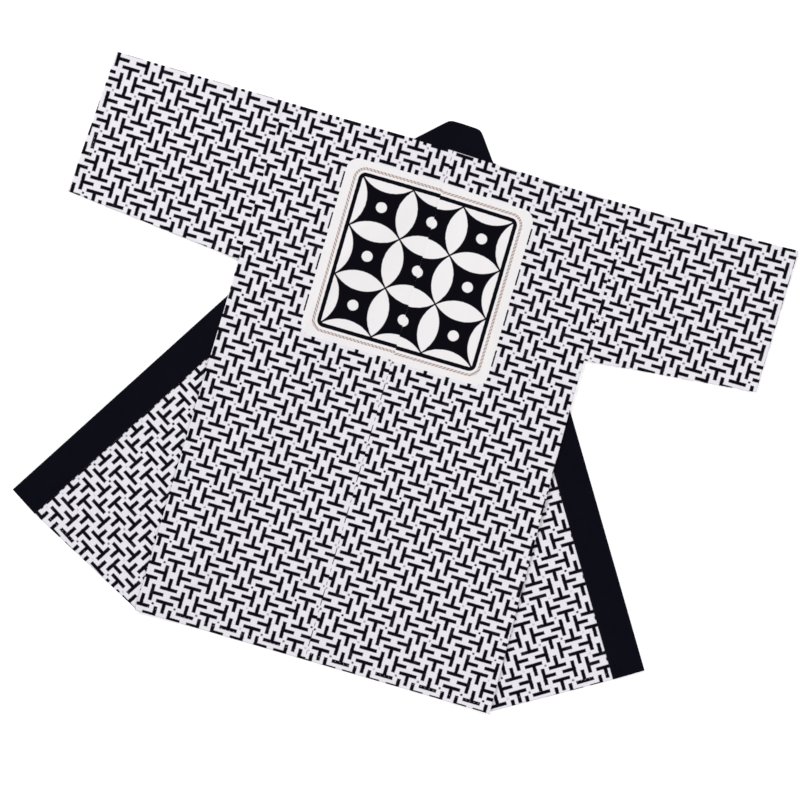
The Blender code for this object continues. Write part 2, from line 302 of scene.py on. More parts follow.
def cloth_mesh(name, points, cloth, present, thickness, materials, bevel=0.0):
    """A wall of cloth over a grid.

    points is rows x columns x 3, cloth is rows x columns x 2 in metres, and present says which of the
    cells between them are cloth.  Each cell is a quad of its four corners.  Returns the object and the
    area of its cells, each of which is half the length of the cross product of its diagonals."""
    rows, columns = points.shape[:2]
    number = np.arange(rows * columns).reshape(rows, columns)
    quads = np.stack([number[:-1, :-1], number[:-1, 1:], number[1:, 1:], number[1:, :-1]], axis=-1)
    quads = quads[present]
    used, faces = np.unique(quads, return_inverse=True)
    faces = faces.reshape(-1, 4)
    flat = cloth.reshape(-1, 2)[used]
    spots = points.reshape(-1, 3)[used]
    one = spots[faces[:, 2]] - spots[faces[:, 0]]
    two = spots[faces[:, 3]] - spots[faces[:, 1]]
    area = float(np.linalg.norm(np.cross(one, two), axis=1).sum() / 2)
    mesh = bpy.data.meshes.new(name)
    mesh.from_pydata(spots, [], faces)
    layer = mesh.uv_layers.new(name="cloth")
    layer.data.foreach_set("uv", flat[faces.ravel()].ravel())
    for material in materials:
        mesh.materials.append(material)
    mesh.shade_smooth()
    piece = bpy.data.objects.new(name, mesh)
    bpy.context.scene.collection.objects.link(piece)
    wall = piece.modifiers.new("thickness", "SOLIDIFY")
    wall.thickness = thickness
    wall.offset = 0
    wall.use_even_offset = True
    wall.use_quality_normals = True
    wall.material_offset = len(materials) - 1
    wall.material_offset_rim = 0
    if bevel:
        soft = piece.modifiers.new("soft edges", "BEVEL")
        soft.width = bevel
        soft.segments = 2
        soft.limit_method = "ANGLE"
        soft.angle_limit = math.radians(50)
    print(f"{name}: {len(faces)} cells, {area:.3f} square metres of cloth")
    return piece, area


def steps(start, end, spacing, fine_start=0.0, fine_end=0.0):
    """Stations from start to end, about spacing apart, and three times closer near the named ends."""
    cuts = [start, start + fine_start, end - fine_end, end]
    pitches = [spacing / 3, spacing, spacing / 3]
    runs = [np.linspace(a, b, max(1, round((b - a) / pitch)), endpoint=False)
            for a, b, pitch in zip(cuts, cuts[1:], pitches) if b > a]
    return np.append(np.concatenate(runs), end)


# %% [markdown]
# Materials as sums of fields
#
# The print is worked out from the cloth's coordinates by shader nodes.  Long chains of Math nodes are
# hard to read, so a small class holds one node output and turns ordinary sums into nodes.

# %% A field of numbers on the surface


class Field:
    """A number that varies over the surface: one output of a shader node."""

    def __init__(self, tree, socket):
        self.tree = tree
        self.socket = socket

    def combine(self, operation, *others):
        """A Math node of this field and others, which may be plain numbers."""
        node = self.tree.nodes.new("ShaderNodeMath")
        node.operation = operation
        for entry, value in zip(node.inputs, (self,) + others):
            if isinstance(value, Field):
                self.tree.links.new(value.socket, entry)
            else:
                entry.default_value = value
        return Field(self.tree, node.outputs[0])

    def __add__(self, other):
        return self.combine("ADD", other)

    def __sub__(self, other):
        return self.combine("SUBTRACT", other)

    def __mul__(self, other):
        return self.combine("MULTIPLY", other)

    def __truediv__(self, other):
        return self.combine("DIVIDE", other)

    def __abs__(self):
        return self.combine("ABSOLUTE")

    def least(self, other):
        return self.combine("MINIMUM", other)

    def most(self, other):
        return self.combine("MAXIMUM", other)

    def flipped(self):
        """One minus the field."""
        return self * -1.0 + 1.0

    def below(self, limit, soft):
        """1 where the field is under the limit and 0 over it, with a smooth step of that softness."""
        node = self.tree.nodes.new("ShaderNodeMapRange")
        node.interpolation_type = "SMOOTHSTEP"
        self.tree.links.new(self.socket, node.inputs["Value"])
        node.inputs["From Min"].default_value = limit - soft
        node.inputs["From Max"].default_value = limit + soft
        node.inputs["To Min"].default_value = 1.0
        node.inputs["To Max"].default_value = 0.0
        return Field(self.tree, node.outputs["Result"])

    def mixed(self, other, share):
        """This field where share is 0, and the other where it is 1."""
        return self * share.flipped() + other * share


def length_of(a, b):
    """The distance whose two sides are a and b."""
    return (a * a + b * b).combine("SQRT")


def cloth_coordinates(tree):
    """The cloth's own u and v, in metres, from the piece's UV map."""
    uv = tree.nodes.new("ShaderNodeUVMap")
    uv.uv_map = "cloth"
    parts = tree.nodes.new("ShaderNodeSeparateXYZ")
    tree.links.new(uv.outputs["UV"], parts.inputs[0])
    return uv, Field(tree, parts.outputs[0]), Field(tree, parts.outputs[1])


def noise(tree, uv, scale, detail=2.0, stretch=(1, 1, 1)):
    """Smooth noise from 0 to 1 over the cloth, with that many bumps a metre."""
    mapping = tree.nodes.new("ShaderNodeMapping")
    mapping.inputs["Scale"].default_value = stretch
    tree.links.new(uv.outputs["UV"], mapping.inputs["Vector"])
    texture = tree.nodes.new("ShaderNodeTexNoise")
    texture.inputs["Scale"].default_value = scale
    texture.inputs["Detail"].default_value = detail
    tree.links.new(mapping.outputs["Vector"], texture.inputs["Vector"])
    return Field(tree, texture.outputs["Fac"])


def mix_colour(tree, under, over, share):
    """The colour under, covered by the colour over as far as share says.  Either may be a socket."""
    node = tree.nodes.new("ShaderNodeMix")
    node.data_type = "RGBA"
    tree.links.new(share.socket, node.inputs["Factor"])
    for entry, value in ((node.inputs["A"], under), (node.inputs["B"], over)):
        if isinstance(value, tuple):
            entry.default_value = (*value, 1)
        else:
            tree.links.new(value, entry)
    return node.outputs["Result"]


# %% [markdown]
# The woven key pattern
#
# The print is the common repeat of small T shapes that interlock like basket work.  The cloth is
# divided into cells of 42 by 40 mm, upright and lying by turns like a chessboard.  Each cell has a
# stem with a gap at its middle, a bar on either side of it, and short strokes from the bars outward.
# Lying cells are the same with across and along exchanged, so one formula serves both.

# %% The print's formula
CELL_ACROSS = 0.0417
CELL_ALONG = 0.0393
FIRST_COLUMN = 0.0244      # from the centre seam to the middle of the first column
FIRST_ROW = 0.0301         # from the shoulder line to the middle of the first row
STROKE = 0.168             # of a cell
STEM_GAP = 0.15
BAR_AT = 0.325
BAR_END = 0.397
DOT = 0.055


def key_print(tree, uv, u, v):
    """1 on the print's strokes and 0 on bare cloth.

    A place's distance from its cell's middle, along and across the stem, says if it is on the stem,
    a bar or a short stroke.  Noise of half a millimetre makes the edges as uneven as ink on cotton."""
    wobble = (noise(tree, uv, 240.0) - 0.5) * 0.050
    drift = (noise(tree, uv, 420.0, stretch=(1, 1, 1.3)) - 0.5) * 0.036
    x = (u - FIRST_COLUMN) / CELL_ACROSS + 0.5
    y = (v - FIRST_ROW) / CELL_ALONG + 0.5
    column = x.combine("FLOOR")
    row = y.combine("FLOOR")
    across = abs(x - column - 0.5 + wobble)
    along = abs(y - row - 0.5 + drift)
    lying = (column + row).combine("FLOORED_MODULO", 2.0)
    main = along.mixed(across, lying)
    side = across.mixed(along, lying)
    soft = 0.022
    stem = side.below(STROKE / 2, soft) * main.below(STEM_GAP, soft).flipped()
    bar = abs(side - BAR_AT).below(STROKE / 2, soft) * main.below(BAR_END, soft)
    short = main.below(STROKE / 2, soft) * side.below(BAR_AT, soft).flipped()
    corner = length_of(across * -1.0 + 0.5, along * -1.0 + 0.5)
    dot = corner.below(DOT, soft) * noise(tree, uv, 38.0).below(0.52, 0.10).flipped()
    return stem.most(bar).most(short).most(dot)


# %% [markdown]
# The crest on the back
#
# A festival coat has a large square panel between the shoulders.  Here it holds a traditional motif
# of interlocking circles, shippo, in white on black, inside a thin line like a twisted cord and a wide
# white border.  All of it is distance arithmetic: a rounded square is the distance from its edge, and
# a petal is where two circles of the lattice overlap.

# %% The crest's formula
CREST_DOWN = 0.232
BORDER = {"half_width": 0.1782, "half_height": 0.1692, "radius": 0.022}
FIELD = {"half_width": 0.1520, "half_height": 0.1476, "radius": 0.013}
CORD_INNER = 0.0050
CORD_OUTER = 0.0092
MOTIF_MARGIN = 0.0075
CIRCLES = 3                # whole circles across the field
CIRCLE_RADIUS = math.sqrt(0.5)
PETAL_GAP = 0.016
HEART = 0.105


def rounded_square(x, y, half_width, half_height, radius):
    """Distance outside the edge of a rounded square, negative inside, for x and y from its middle."""
    across = x + (radius - half_width)
    along = y + (radius - half_height)
    outside = length_of(across.most(0.0), along.most(0.0))
    return outside + across.most(along).least(0.0) - radius


def petals(x, y):
    """1 on the petals and hearts of a lattice of interlocking circles.

    In a cell between four circle middles, a place is on a petal when the second nearest middle is
    less than a circle's radius away, and on a heart when the nearest one is very near."""
    a = (x * (CIRCLES / 2 / (FIELD["half_width"] - MOTIF_MARGIN))).combine("PINGPONG", 0.5)
    b = (y * (CIRCLES / 2 / (FIELD["half_height"] - MOTIF_MARGIN))).combine("PINGPONG", 0.5)
    second = length_of(a.most(b) * -1.0 + 1.0, a.least(b))
    soft = 0.008
    return second.below(CIRCLE_RADIUS - PETAL_GAP, soft).most(length_of(a, b).below(HEART, soft))


def crest_masks(tree, uv, u, v):
    """Shares of the white border, the cord line, the black field and the white motif."""
    wobble = (noise(tree, uv, 150.0) - 0.5) * 0.0012
    x = abs(u) + wobble
    y = abs(v - CREST_DOWN) + wobble
    border = rounded_square(x, y, **BORDER).below(0.0, 0.0005)
    edge = rounded_square(x, y, **FIELD)
    middle = (CORD_INNER + CORD_OUTER) / 2
    strand = abs(abs(edge - middle) - (CORD_OUTER - middle) * 0.6)
    twist = ((u + v) * 900.0).combine("SINE") * 0.5 + 0.5
    cord = strand.below(0.0011, 0.0005) * (twist * 0.65 + 0.35)
    field = edge.below(0.0, 0.0006)
    motif = petals(x, y) * edge.below(-MOTIF_MARGIN, 0.0006)
    return border, cord, field, motif


# %% [markdown]
# Cotton
#
# The cloth is a matt plain weave.  Threads are half a millimetre apart, so from a step away they only
# soften the surface; a bump of two crossed waves gives the weave, and slow noise gives the slubs and
# the slightly uneven white.  Ink lies in the fibres, a little smoother than the bare cloth.  On the
# wrong side the print shows through as a pale ghost.

# %% Materials
GROUND = (0.715, 0.695, 0.742)
INK = (0.0018, 0.0015, 0.0046)
CREST_WHITE = (0.760, 0.735, 0.748)
CREST_BLACK = (0.0017, 0.0016, 0.0038)
CORD_TAN = (0.280, 0.190, 0.145)
COLLAR_BLACK = (0.0021, 0.0020, 0.0052)
THREAD_WHITE = (0.700, 0.680, 0.700)
THREAD_BLACK = (0.0060, 0.0060, 0.0120)
THREAD_PITCH = 0.0009
GHOST = 0.34               # strength of the print on the wrong side


def weave_bump(tree, shader, u, v, height, pitch=THREAD_PITCH):
    """A bump of two crossed sine waves, the threads of a plain weave, plus a given field."""
    warp = (u * (math.tau / pitch)).combine("SINE")
    weft = (v * (math.tau / pitch)).combine("SINE")
    total = warp * weft * 0.5 + height
    bump = tree.nodes.new("ShaderNodeBump")
    bump.inputs["Strength"].default_value = 0.35
    bump.inputs["Distance"].default_value = 0.00022
    tree.links.new(total.socket, bump.inputs["Height"])
    tree.links.new(bump.outputs["Normal"], shader.inputs["Normal"])


def new_material(name, sheen):
    """An empty cotton material: its node tree and its shader, with what is the same all over."""
    material = bpy.data.materials.new(name)
    material.use_nodes = True
    shader = material.node_tree.nodes["Principled BSDF"]
    shader.inputs["Specular IOR Level"].default_value = 0.03
    shader.inputs["Sheen Weight"].default_value = sheen
    shader.inputs["Sheen Roughness"].default_value = 0.5
    return material, material.node_tree, shader


def printed_cotton(name, crest=False, strength=1.0):
    """White cotton with the key print, at full strength or as the ghost on the wrong side."""
    material, tree, shader = new_material(name, 0.02)
    uv, u, v = cloth_coordinates(tree)
    slub = noise(tree, uv, 900.0, stretch=(1, 0.06, 1)) + noise(tree, uv, 900.0, stretch=(0.06, 1, 1))
    patch = noise(tree, uv, 7.0, detail=3.0)
    shade = (slub - 1.0) * 0.10 + (patch - 0.5) * 0.06 + 0.5
    worn = noise(tree, uv, 55.0, detail=4.0).below(0.36, 0.10) * 0.02
    ink = key_print(tree, uv, u, v) * worn.flipped() * strength
    white = mix_colour(tree, tuple(c * 0.90 for c in GROUND), tuple(c * 1.10 for c in GROUND), shade)
    colour = mix_colour(tree, white, INK, ink)
    smooth = ink
    if crest:
        border, cord, field, motif = crest_masks(tree, uv, u, v)
        paper = mix_colour(tree, tuple(c * 0.94 for c in CREST_WHITE),
                           tuple(c * 1.06 for c in CREST_WHITE), shade)
        colour = mix_colour(tree, colour, paper, border * strength)
        colour = mix_colour(tree, colour, CORD_TAN, cord * strength)
        black = field * motif.flipped()
        colour = mix_colour(tree, colour, CREST_BLACK, black * strength)
        smooth = smooth * border.flipped() + black * strength
    tree.links.new(colour, shader.inputs["Base Color"])
    roughness = smooth * -0.14 + 0.90
    tree.links.new(roughness.socket, shader.inputs["Roughness"])
    weave_bump(tree, shader, u, v, slub * 0.8 - smooth * 0.35)
    return material


def black_cotton(name):
    """The collar's black cotton: denser, with a faint navy cast, lint, and edges rubbed a little pale."""
    material, tree, shader = new_material(name, 0.02)
    uv, u, v = cloth_coordinates(tree)
    slub = noise(tree, uv, 1100.0, stretch=(1, 0.05, 1)) + noise(tree, uv, 1100.0, stretch=(0.05, 1, 1))
    lint = noise(tree, uv, 700.0, detail=1.0).below(0.76, 0.03).flipped()
    faded = noise(tree, uv, 16.0, detail=3.0)
    rubbed = abs(u - COLLAR_WIDTH / 2).below(COLLAR_WIDTH / 2 - 0.0012, 0.0009).flipped()
    shade = (slub - 1.0) * 0.6 + (faded - 0.5) * 0.5 + rubbed * 0.6 + 0.5
    colour = mix_colour(tree, tuple(c * 0.55 for c in COLLAR_BLACK),
                        tuple(c * 1.70 for c in COLLAR_BLACK), shade)
    colour = mix_colour(tree, colour, (0.030, 0.030, 0.055), lint * 0.6)
    tree.links.new(colour, shader.inputs["Base Color"])
    roughness = faded * -0.10 + 0.84
    tree.links.new(roughness.socket, shader.inputs["Roughness"])
    weave_bump(tree, shader, u, v, slub * 0.9, pitch=0.0011)
    return material


body_cotton = printed_cotton("printed_cotton_back", crest=True)
body_wrong_side = printed_cotton("printed_cotton_back_wrong_side", crest=True, strength=GHOST)
sleeve_cotton = printed_cotton("printed_cotton_sleeve")
sleeve_wrong_side = printed_cotton("printed_cotton_sleeve_wrong_side", strength=GHOST)
collar_cotton = black_cotton("collar_cotton")
print("materials:", [m.name for m in bpy.data.materials if "cotton" in m.name])

# %% [markdown]
# The body
#
# Each half is one length of cloth: up the back, over the shoulder, down the front, and outward again
# under itself at the tuck.  The back's rows run from the side seam to the centre seam.  The front's
# run from the side seam to the tuck line, round it, and out along the flare to the collar band.

# %% Rows of the body
ROW_SPACING = 0.0056
COLUMN_SPACING = 0.0056
SEAM_TURN = 4              # steps of the quarter turn at the side seam
FOLD_TURN = 6              # steps of a half turn at a fold
RIM_EASE = 0.00015         # each of two layers stops this short of the other where they are sewn
SEAM_EDGE = 0.0012         # share of a row that its last narrow cell by a seam takes


def column(values):
    """A list of row values as a column, to be combined with each row's own places."""
    return np.asarray(values, float)[:, None]


def side_and_tuck(lay, down, upper, count):
    """The part that back and front share, from the side seam to the tuck line.

    Below the armpit both turn through a quarter circle, the back down and the front up, and meet at
    the seam.  Above it they run out flat to the sleeve.  Returns out and height, rows by columns."""
    edge = half_back(lay, down) - SEAM_SLIT
    near = edge - FOLD_GAP
    gap_to_side = np.where(down > ARMPIT, half_back(lay, down) - near, 1.0)
    low = front_height(lay, near, down)
    high = back_height(lay, near, down, np.minimum(gap_to_side, down))
    radius = (high - low) / 2
    start = edge - radius - CLOTH / 2
    angle = np.linspace(math.pi / 2, 0, SEAM_TURN + 1)[:-1]
    closed = 1 / (1 + np.exp(-(down - ARMPIT - 0.012) / 0.003))
    turned = start + radius * np.sin(angle)
    straight = start + (radius + CLOTH / 2) * angle / (math.pi / 2)
    rim_out = closed * turned + (1 - closed) * straight
    drop = closed * (radius * (1 - np.cos(angle)) - RIM_EASE * (angle > 1.5))
    share = np.linspace(0, 1, count + 1)
    inner_out = start + (tuck_line(lay, down) - start) * share
    out = np.concatenate([rim_out, inner_out], axis=1)
    to_side = np.where(down > ARMPIT, half_back(lay, down) - inner_out, 1.0)
    if upper:
        level = back_height(lay, inner_out, down, np.minimum(to_side, down))
        level = level + upper_relief(lay, inner_out, down)
        rim = level[:, :1] - drop
    else:
        level = front_height(lay, inner_out, down)
        rim = level[:, :1] + drop
    return out, np.concatenate([rim, level], axis=1)


def flare_layer(lay, down, share):
    """The spread part of the front: out, down and height.

    Its rows start at the tuck line, a certain way down, and end at the band a little higher up,
    because the front is turned outward about the neck.  share is 0 at the tuck and 1 at the band."""
    crossing = (HALF_NECK - lay["seam_at"]) / (math.tan(lay["lean"]) - tuck_slope(lay))
    pace = (lay["end_down"] - crossing) / (BACK_LENGTH - crossing)
    end_down = crossing + (down - crossing) * pace
    end_out = seam_line(lay, end_down) - SEAM_SLIT / math.cos(lay["lean"])
    tuck = tuck_line(lay, down)
    out = tuck + (end_out - tuck) * share
    to_band = np.hypot(end_out - tuck, end_down - down) * (1 - share)
    level = SOLID_CLOTH / 2 + puckers(to_band, down, (0.026, 0.041, 0.017)) + 0.5 * seam_roll(to_band)
    level = level + double_cloth(BACK_LENGTH - down, HEM_FOLD, 0.0003)
    return out, down + (end_down - down) * share, level


def body_half(side):
    """One half of the body: the grid of its back, its shoulder fold and its front."""
    lay = LAY[side]
    down = column(steps(SHOULDER_FOLD, BACK_LENGTH, ROW_SPACING, fine_end=0.020))
    tuck_count = round((lay["armhole"] - HALF_NECK) / COLUMN_SPACING)
    back_out, back_level = side_and_tuck(lay, down, True, tuck_count)
    front_out, front_level = side_and_tuck(lay, down, False, tuck_count)
    shared = back_out.shape[1]

    # The back goes on to the centre seam, with closer columns in the last centimetre
    share = steps(0.0, 1.0, COLUMN_SPACING / 0.20, fine_end=0.05)[1:]
    share = np.insert(share, -1, 1 - SEAM_EDGE)
    tuck = tuck_line(lay, down)
    inner_out = tuck + (SEAM_SLIT / 2 - tuck) * share
    edge = np.where(inner_out > HALF_NECK - FOLD_REACH, down, 1.0)
    inner_level = back_height(lay, inner_out, down, edge) + upper_relief(lay, inner_out, down)
    back_out = np.concatenate([back_out, inner_out], axis=1)
    back_level = np.concatenate([back_level, inner_level], axis=1)
    back_points = place(lay, back_out, down, back_level)
    back_cloth = np.stack([back_out, np.broadcast_to(down, back_out.shape)], axis=-1)

    # The front turns at the tuck line and comes out again along the flare
    share = steps(0.0, 1.0, COLUMN_SPACING / 0.24, fine_end=0.04)
    flare_out, flare_down, flare_level = flare_layer(lay, down, share)
    bottom = flare_level[:, :1]
    radius = (front_height(lay, tuck, down) - bottom) / 2
    angle = np.linspace(0, math.pi, FOLD_TURN + 2)[1:-1]
    turn_out = tuck - radius * np.sin(angle)
    turn_level = bottom + radius + radius * np.cos(angle)
    front_down = np.concatenate([np.broadcast_to(down, (len(down), shared + FOLD_TURN)), flare_down], 1)
    front_points = place(lay, np.concatenate([front_out, turn_out, flare_out], axis=1), front_down,
                         np.concatenate([front_level, turn_level, flare_level], axis=1))

    # The flare's edge is sewn to the band, so its grain runs along the band
    to_seam = (seam_line(lay, flare_down) - flare_out) * math.cos(lay["lean"])
    along_seam = flare_out * math.sin(lay["lean"]) + flare_down * math.cos(lay["lean"])
    front_u = np.concatenate([front_out, tuck - radius * angle, to_seam - lay["flare_print"][0]], 1)
    front_v = np.concatenate([np.broadcast_to(-down, (len(down), shared + FOLD_TURN)),
                              -along_seam - lay["flare_print"][1]], axis=1)
    front_cloth = np.stack([front_u, front_v], axis=-1)

    # Over the shoulder the back turns down into the front, through half circles
    angle = column(np.linspace(0, math.pi, FOLD_TURN + 2)[1:-1])[:, :, None]
    top, low = back_points[:1, :shared], front_points[:1, :shared]
    half = (top[..., 2:] - low[..., 2:]) / 2
    fold_points = np.concatenate([
        np.broadcast_to(top[..., :1], (FOLD_TURN, shared, 1)),
        top[..., 1:2] + half * np.sin(angle),
        low[..., 2:] + half + half * np.cos(angle)], axis=-1)
    fold_v = np.broadcast_to(SHOULDER_FOLD * np.cos(angle), (FOLD_TURN, shared, 1))
    fold_cloth = np.concatenate([np.broadcast_to(back_cloth[:1, :shared, :1], fold_v.shape), fold_v], -1)

    width = max(back_points.shape[1], front_points.shape[1])

    def padded(rows):
        """The rows, filled up to the grid's width with repeats that are masked out."""
        return np.concatenate([rows, np.repeat(rows[:, -1:], width - rows.shape[1], axis=1)], axis=1)

    points = np.concatenate([padded(back_points[::-1]), padded(fold_points), padded(front_points)])
    cloth = np.concatenate([padded(back_cloth[::-1]), padded(fold_cloth), padded(front_cloth)])
    cloth = cloth + np.array(lay["back_print"])
    last = np.full(len(points) - 1, shared - 1)
    last[:len(down) - 1] = back_points.shape[1] - 1
    spread = np.nonzero(down[:-1, 0] > TUCK_START)[0]
    last[len(down) + FOLD_TURN + spread] = front_points.shape[1] - 1
    present = np.arange(width - 1)[None, :] < last[:, None]
    if lay["sign"] > 0:
        points, cloth, present = points[:, ::-1], cloth[:, ::-1], present[:, ::-1]
    piece, area = cloth_mesh("body_" + side + "_cloth", points, cloth, present, CLOTH,
                             (body_cotton, body_wrong_side))
    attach(piece, "root")
    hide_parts("body_" + side)
    return piece


# %% [markdown]
# The sleeves
#
# A sleeve is a flat tube: one length of cloth from the seam along its lower edge, up over the fold at
# the shoulder line and down again.  It starts at the body's armhole seam and ends in a turned cuff.

# %% Rows of a sleeve

def sleeve_layers(lay, share, part):
    """Out, down, and the heights of the lower and the upper side of a sleeve.

    share is 0 at the armhole and 1 at the cuff; part is 0 at the shoulder line and 1 at the seam."""
    depth = SLEEVE_DEPTH_ROOT + (SLEEVE_DEPTH_CUFF - SLEEVE_DEPTH_ROOT) * share
    fold = SHOULDER_FOLD
    down = fold + (depth - 2 * fold) * part
    root = lay["armhole"] + SEAM_SLIT
    tip = lay["cuff_top"] + (lay["cuff_foot"] - lay["cuff_top"]) * down / depth
    out = root + (tip - root) * share
    low = front_height(lay, out, down)
    lift = (FOLD_GAP - GAP) * (near_fold(down - fold) + near_fold(depth - fold - down))
    high = low + SOLID_CLOTH + GAP + lift
    x, y = lay["sign"] * out, SHOULDER_Y - down
    from_cuff = (tip - root) * (1 - share)
    relief = ridges(TOP_CREASES, x, y) + double_cloth(from_cuff, CUFF_FOLD, 0.0005)
    relief = relief + puckers(out - root, down, (0.023, 0.037, 0.014)) + seam_roll(out - root)
    relief = relief + puckers(depth - down, out, (0.045, 0.029, 0.019), 0.0007)
    return out, down, low, high + relief


def sleeve(side):
    """One sleeve: rows from the armhole to the cuff, and columns round the flattened tube."""
    lay = LAY[side]
    share = column(np.insert(steps(0.0, 1.0, ROW_SPACING / 0.32, fine_start=0.03, fine_end=0.07), 1, SEAM_EDGE))
    part = np.linspace(0, 1, round(SLEEVE_DEPTH_ROOT / COLUMN_SPACING) + 1)
    out, down, low, high = sleeve_layers(lay, share, part)

    # At the lower edge both sides turn through a quarter circle and meet at the seam
    radius = (high[:, -1:] - low[:, -1:]) / 2
    angle = np.linspace(math.pi / 2, 0, SEAM_TURN + 1)[:-1]
    edge_down = down[:, -1:] + radius * np.sin(angle)
    edge_out = np.broadcast_to(out[:, -1:], edge_down.shape)
    drop = radius * (1 - np.cos(angle)) - RIM_EASE * (angle > 1.5)
    # At the shoulder line the cloth turns through a half circle
    bend = (high[:, :1] - low[:, :1]) / 2
    half = np.linspace(0, math.pi, FOLD_TURN + 2)[1:-1]
    fold_down = down[:, :1] - bend * np.sin(half)
    fold_level = low[:, :1] + bend + bend * np.cos(half)
    fold_out = np.broadcast_to(out[:, :1], fold_down.shape)
    fold_v = SHOULDER_FOLD * np.cos(half) + 0 * fold_down

    all_out = np.concatenate([edge_out, out[:, ::-1], fold_out, out, edge_out[:, ::-1]], axis=1)
    all_down = np.concatenate([edge_down, down[:, ::-1], fold_down, down, edge_down[:, ::-1]], axis=1)
    level = np.concatenate([high[:, -1:] - drop, high[:, ::-1], fold_level, low,
                            (low[:, -1:] + drop)[:, ::-1]], axis=1)
    v = np.concatenate([edge_down, down[:, ::-1], fold_v, -down, -edge_down[:, ::-1]], axis=1)
    points = place(lay, all_out, all_down, level)
    cloth = np.stack([lay["cuff_foot"] - all_out, v], axis=-1) - np.array(lay["sleeve_print"])
    if lay["sign"] > 0:
        points, cloth = points[:, ::-1], cloth[:, ::-1]
    present = np.ones((points.shape[0] - 1, points.shape[1] - 1), bool)
    piece, area = cloth_mesh("sleeve_" + side + "_cloth", points, cloth, present, CLOTH,
                             (sleeve_cotton, sleeve_wrong_side))
    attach(piece, "root")
    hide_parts("sleeve_" + side)
    return piece


# %% [markdown]
# The collar band
#
# One black band runs from hem to hem round the back of the neck, folded double over an interfacing, so
# it is stiffer and thicker than the cloth.  It is a profile carried along the path of its two edges,
# and a Bevel rounds its folded edges.

# %% Path and profile of the band
BAND_SPACING = 0.0060
BAND_COLUMNS = 12


def along_path(corners, spacing, rounding):
    """A line through the corners, evenly spaced, then averaged with its neighbours a few times so
    that its corners are rounded."""
    corners = np.asarray(corners, float)
    legs = np.hypot(*np.diff(corners, axis=0).T)
    reach = np.concatenate([[0], np.cumsum(legs)])
    at = np.linspace(0, reach[-1], round(reach[-1] / spacing) + 1)
    line = np.stack([np.interp(at, reach, corners[:, axis]) for axis in (0, 1)], axis=1)
    for _ in range(rounding):
        line[1:-1] = (line[:-2] + 2 * line[1:-1] + line[2:]) / 4
    return line


def resampled(line, count):
    """The same line with that many evenly spaced points."""
    reach = np.concatenate([[0], np.cumsum(np.hypot(*np.diff(line, axis=0).T))])
    at = np.linspace(0, reach[-1], count)
    return np.stack([np.interp(at, reach, line[:, axis]) for axis in (0, 1)], axis=1)


def band_edges(lay):
    """The free and the sewn edge of one half of the band, from the centre of the neck to the hem."""
    along = np.array((math.sin(lay["lean"]), math.cos(lay["lean"])))
    outward = np.array((math.cos(lay["lean"]), -math.sin(lay["lean"])))
    start = np.array((seam_line(lay, BAND_STRAIGHT), BAND_STRAIGHT))
    hem = np.array((seam_line(lay, lay["end_down"]), lay["end_down"]))
    free = along_path([(0, -COLLAR_RISE), (lay["top"], -COLLAR_RISE), (HALF_NECK, 0),
                       start + outward * COLLAR_WIDTH], BAND_SPACING / 2, 4)
    sewn = along_path([(0, COLLAR_TUCK), (lay["top"] / 2, COLLAR_TUCK), start - along * NECK_CURVE,
                       start], BAND_SPACING / 2, 30)
    count = round(len(free) / 2)
    free, sewn = resampled(free, count), resampled(sewn, count)
    straight = np.linspace(0, 1, round(np.linalg.norm(hem - start) / BAND_SPACING) + 1)[1:, None]
    run = start + (hem - start) * straight
    return np.concatenate([free, run + outward * COLLAR_WIDTH]), np.concatenate([sewn, run])


def band_level(plan, share):
    """Middle of the band's thickness: a low crown between its folded edges, and slow ripples."""
    crown = 0.00014 * np.sin(math.pi * share) ** 0.5
    return SOLID_BAND / 2 + crown + 0.0001 * np.sin(plan[..., 1] * 61.0 + 4 * share) ** 2


def collar_band():
    """The whole band, from the left hem round the neck to the right one."""
    share = np.linspace(0, 1, BAND_COLUMNS + 1)[None, :, None]
    halves = []
    for side in ("left", "right"):
        free, sewn = band_edges(LAY[side])
        plan = free[:, None] + (sewn - free)[:, None] * share
        halves.append(place(LAY[side], plan[..., 0], plan[..., 1], band_level(plan, share[..., 0])))
    points = np.concatenate([halves[0][::-1], halves[1][1:]])
    middle = points[:, BAND_COLUMNS // 2]
    reach = np.concatenate([[0], np.cumsum(np.linalg.norm(np.diff(middle, axis=0), axis=1))])
    u = np.broadcast_to(share[0, :, 0] * COLLAR_WIDTH, points.shape[:2])
    cloth = np.stack([u, np.broadcast_to(reach[:, None], u.shape)], axis=-1)
    present = np.ones((points.shape[0] - 1, points.shape[1] - 1), bool)
    piece, area = cloth_mesh("collar_band", points, cloth, present, BAND, (collar_cotton,), bevel=0.0007)
    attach(piece, "root")
    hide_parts("collar")
    return piece


collar = collar_band()
for side in LAY:
    body_half(side)
    sleeve(side)

# %% [markdown]
# Stitching
#
# Hems and cuffs are turned in and sewn down by hand with tiny running stitches in white thread, and
# the band's two folded edges are stitched in black.  A stitch is a short bead of thread, half sunk in the
# cloth.  One bead is set out around its own middle, and then copied to every place along the seams.

# %% Beads of thread
STITCH_AROUND = 6


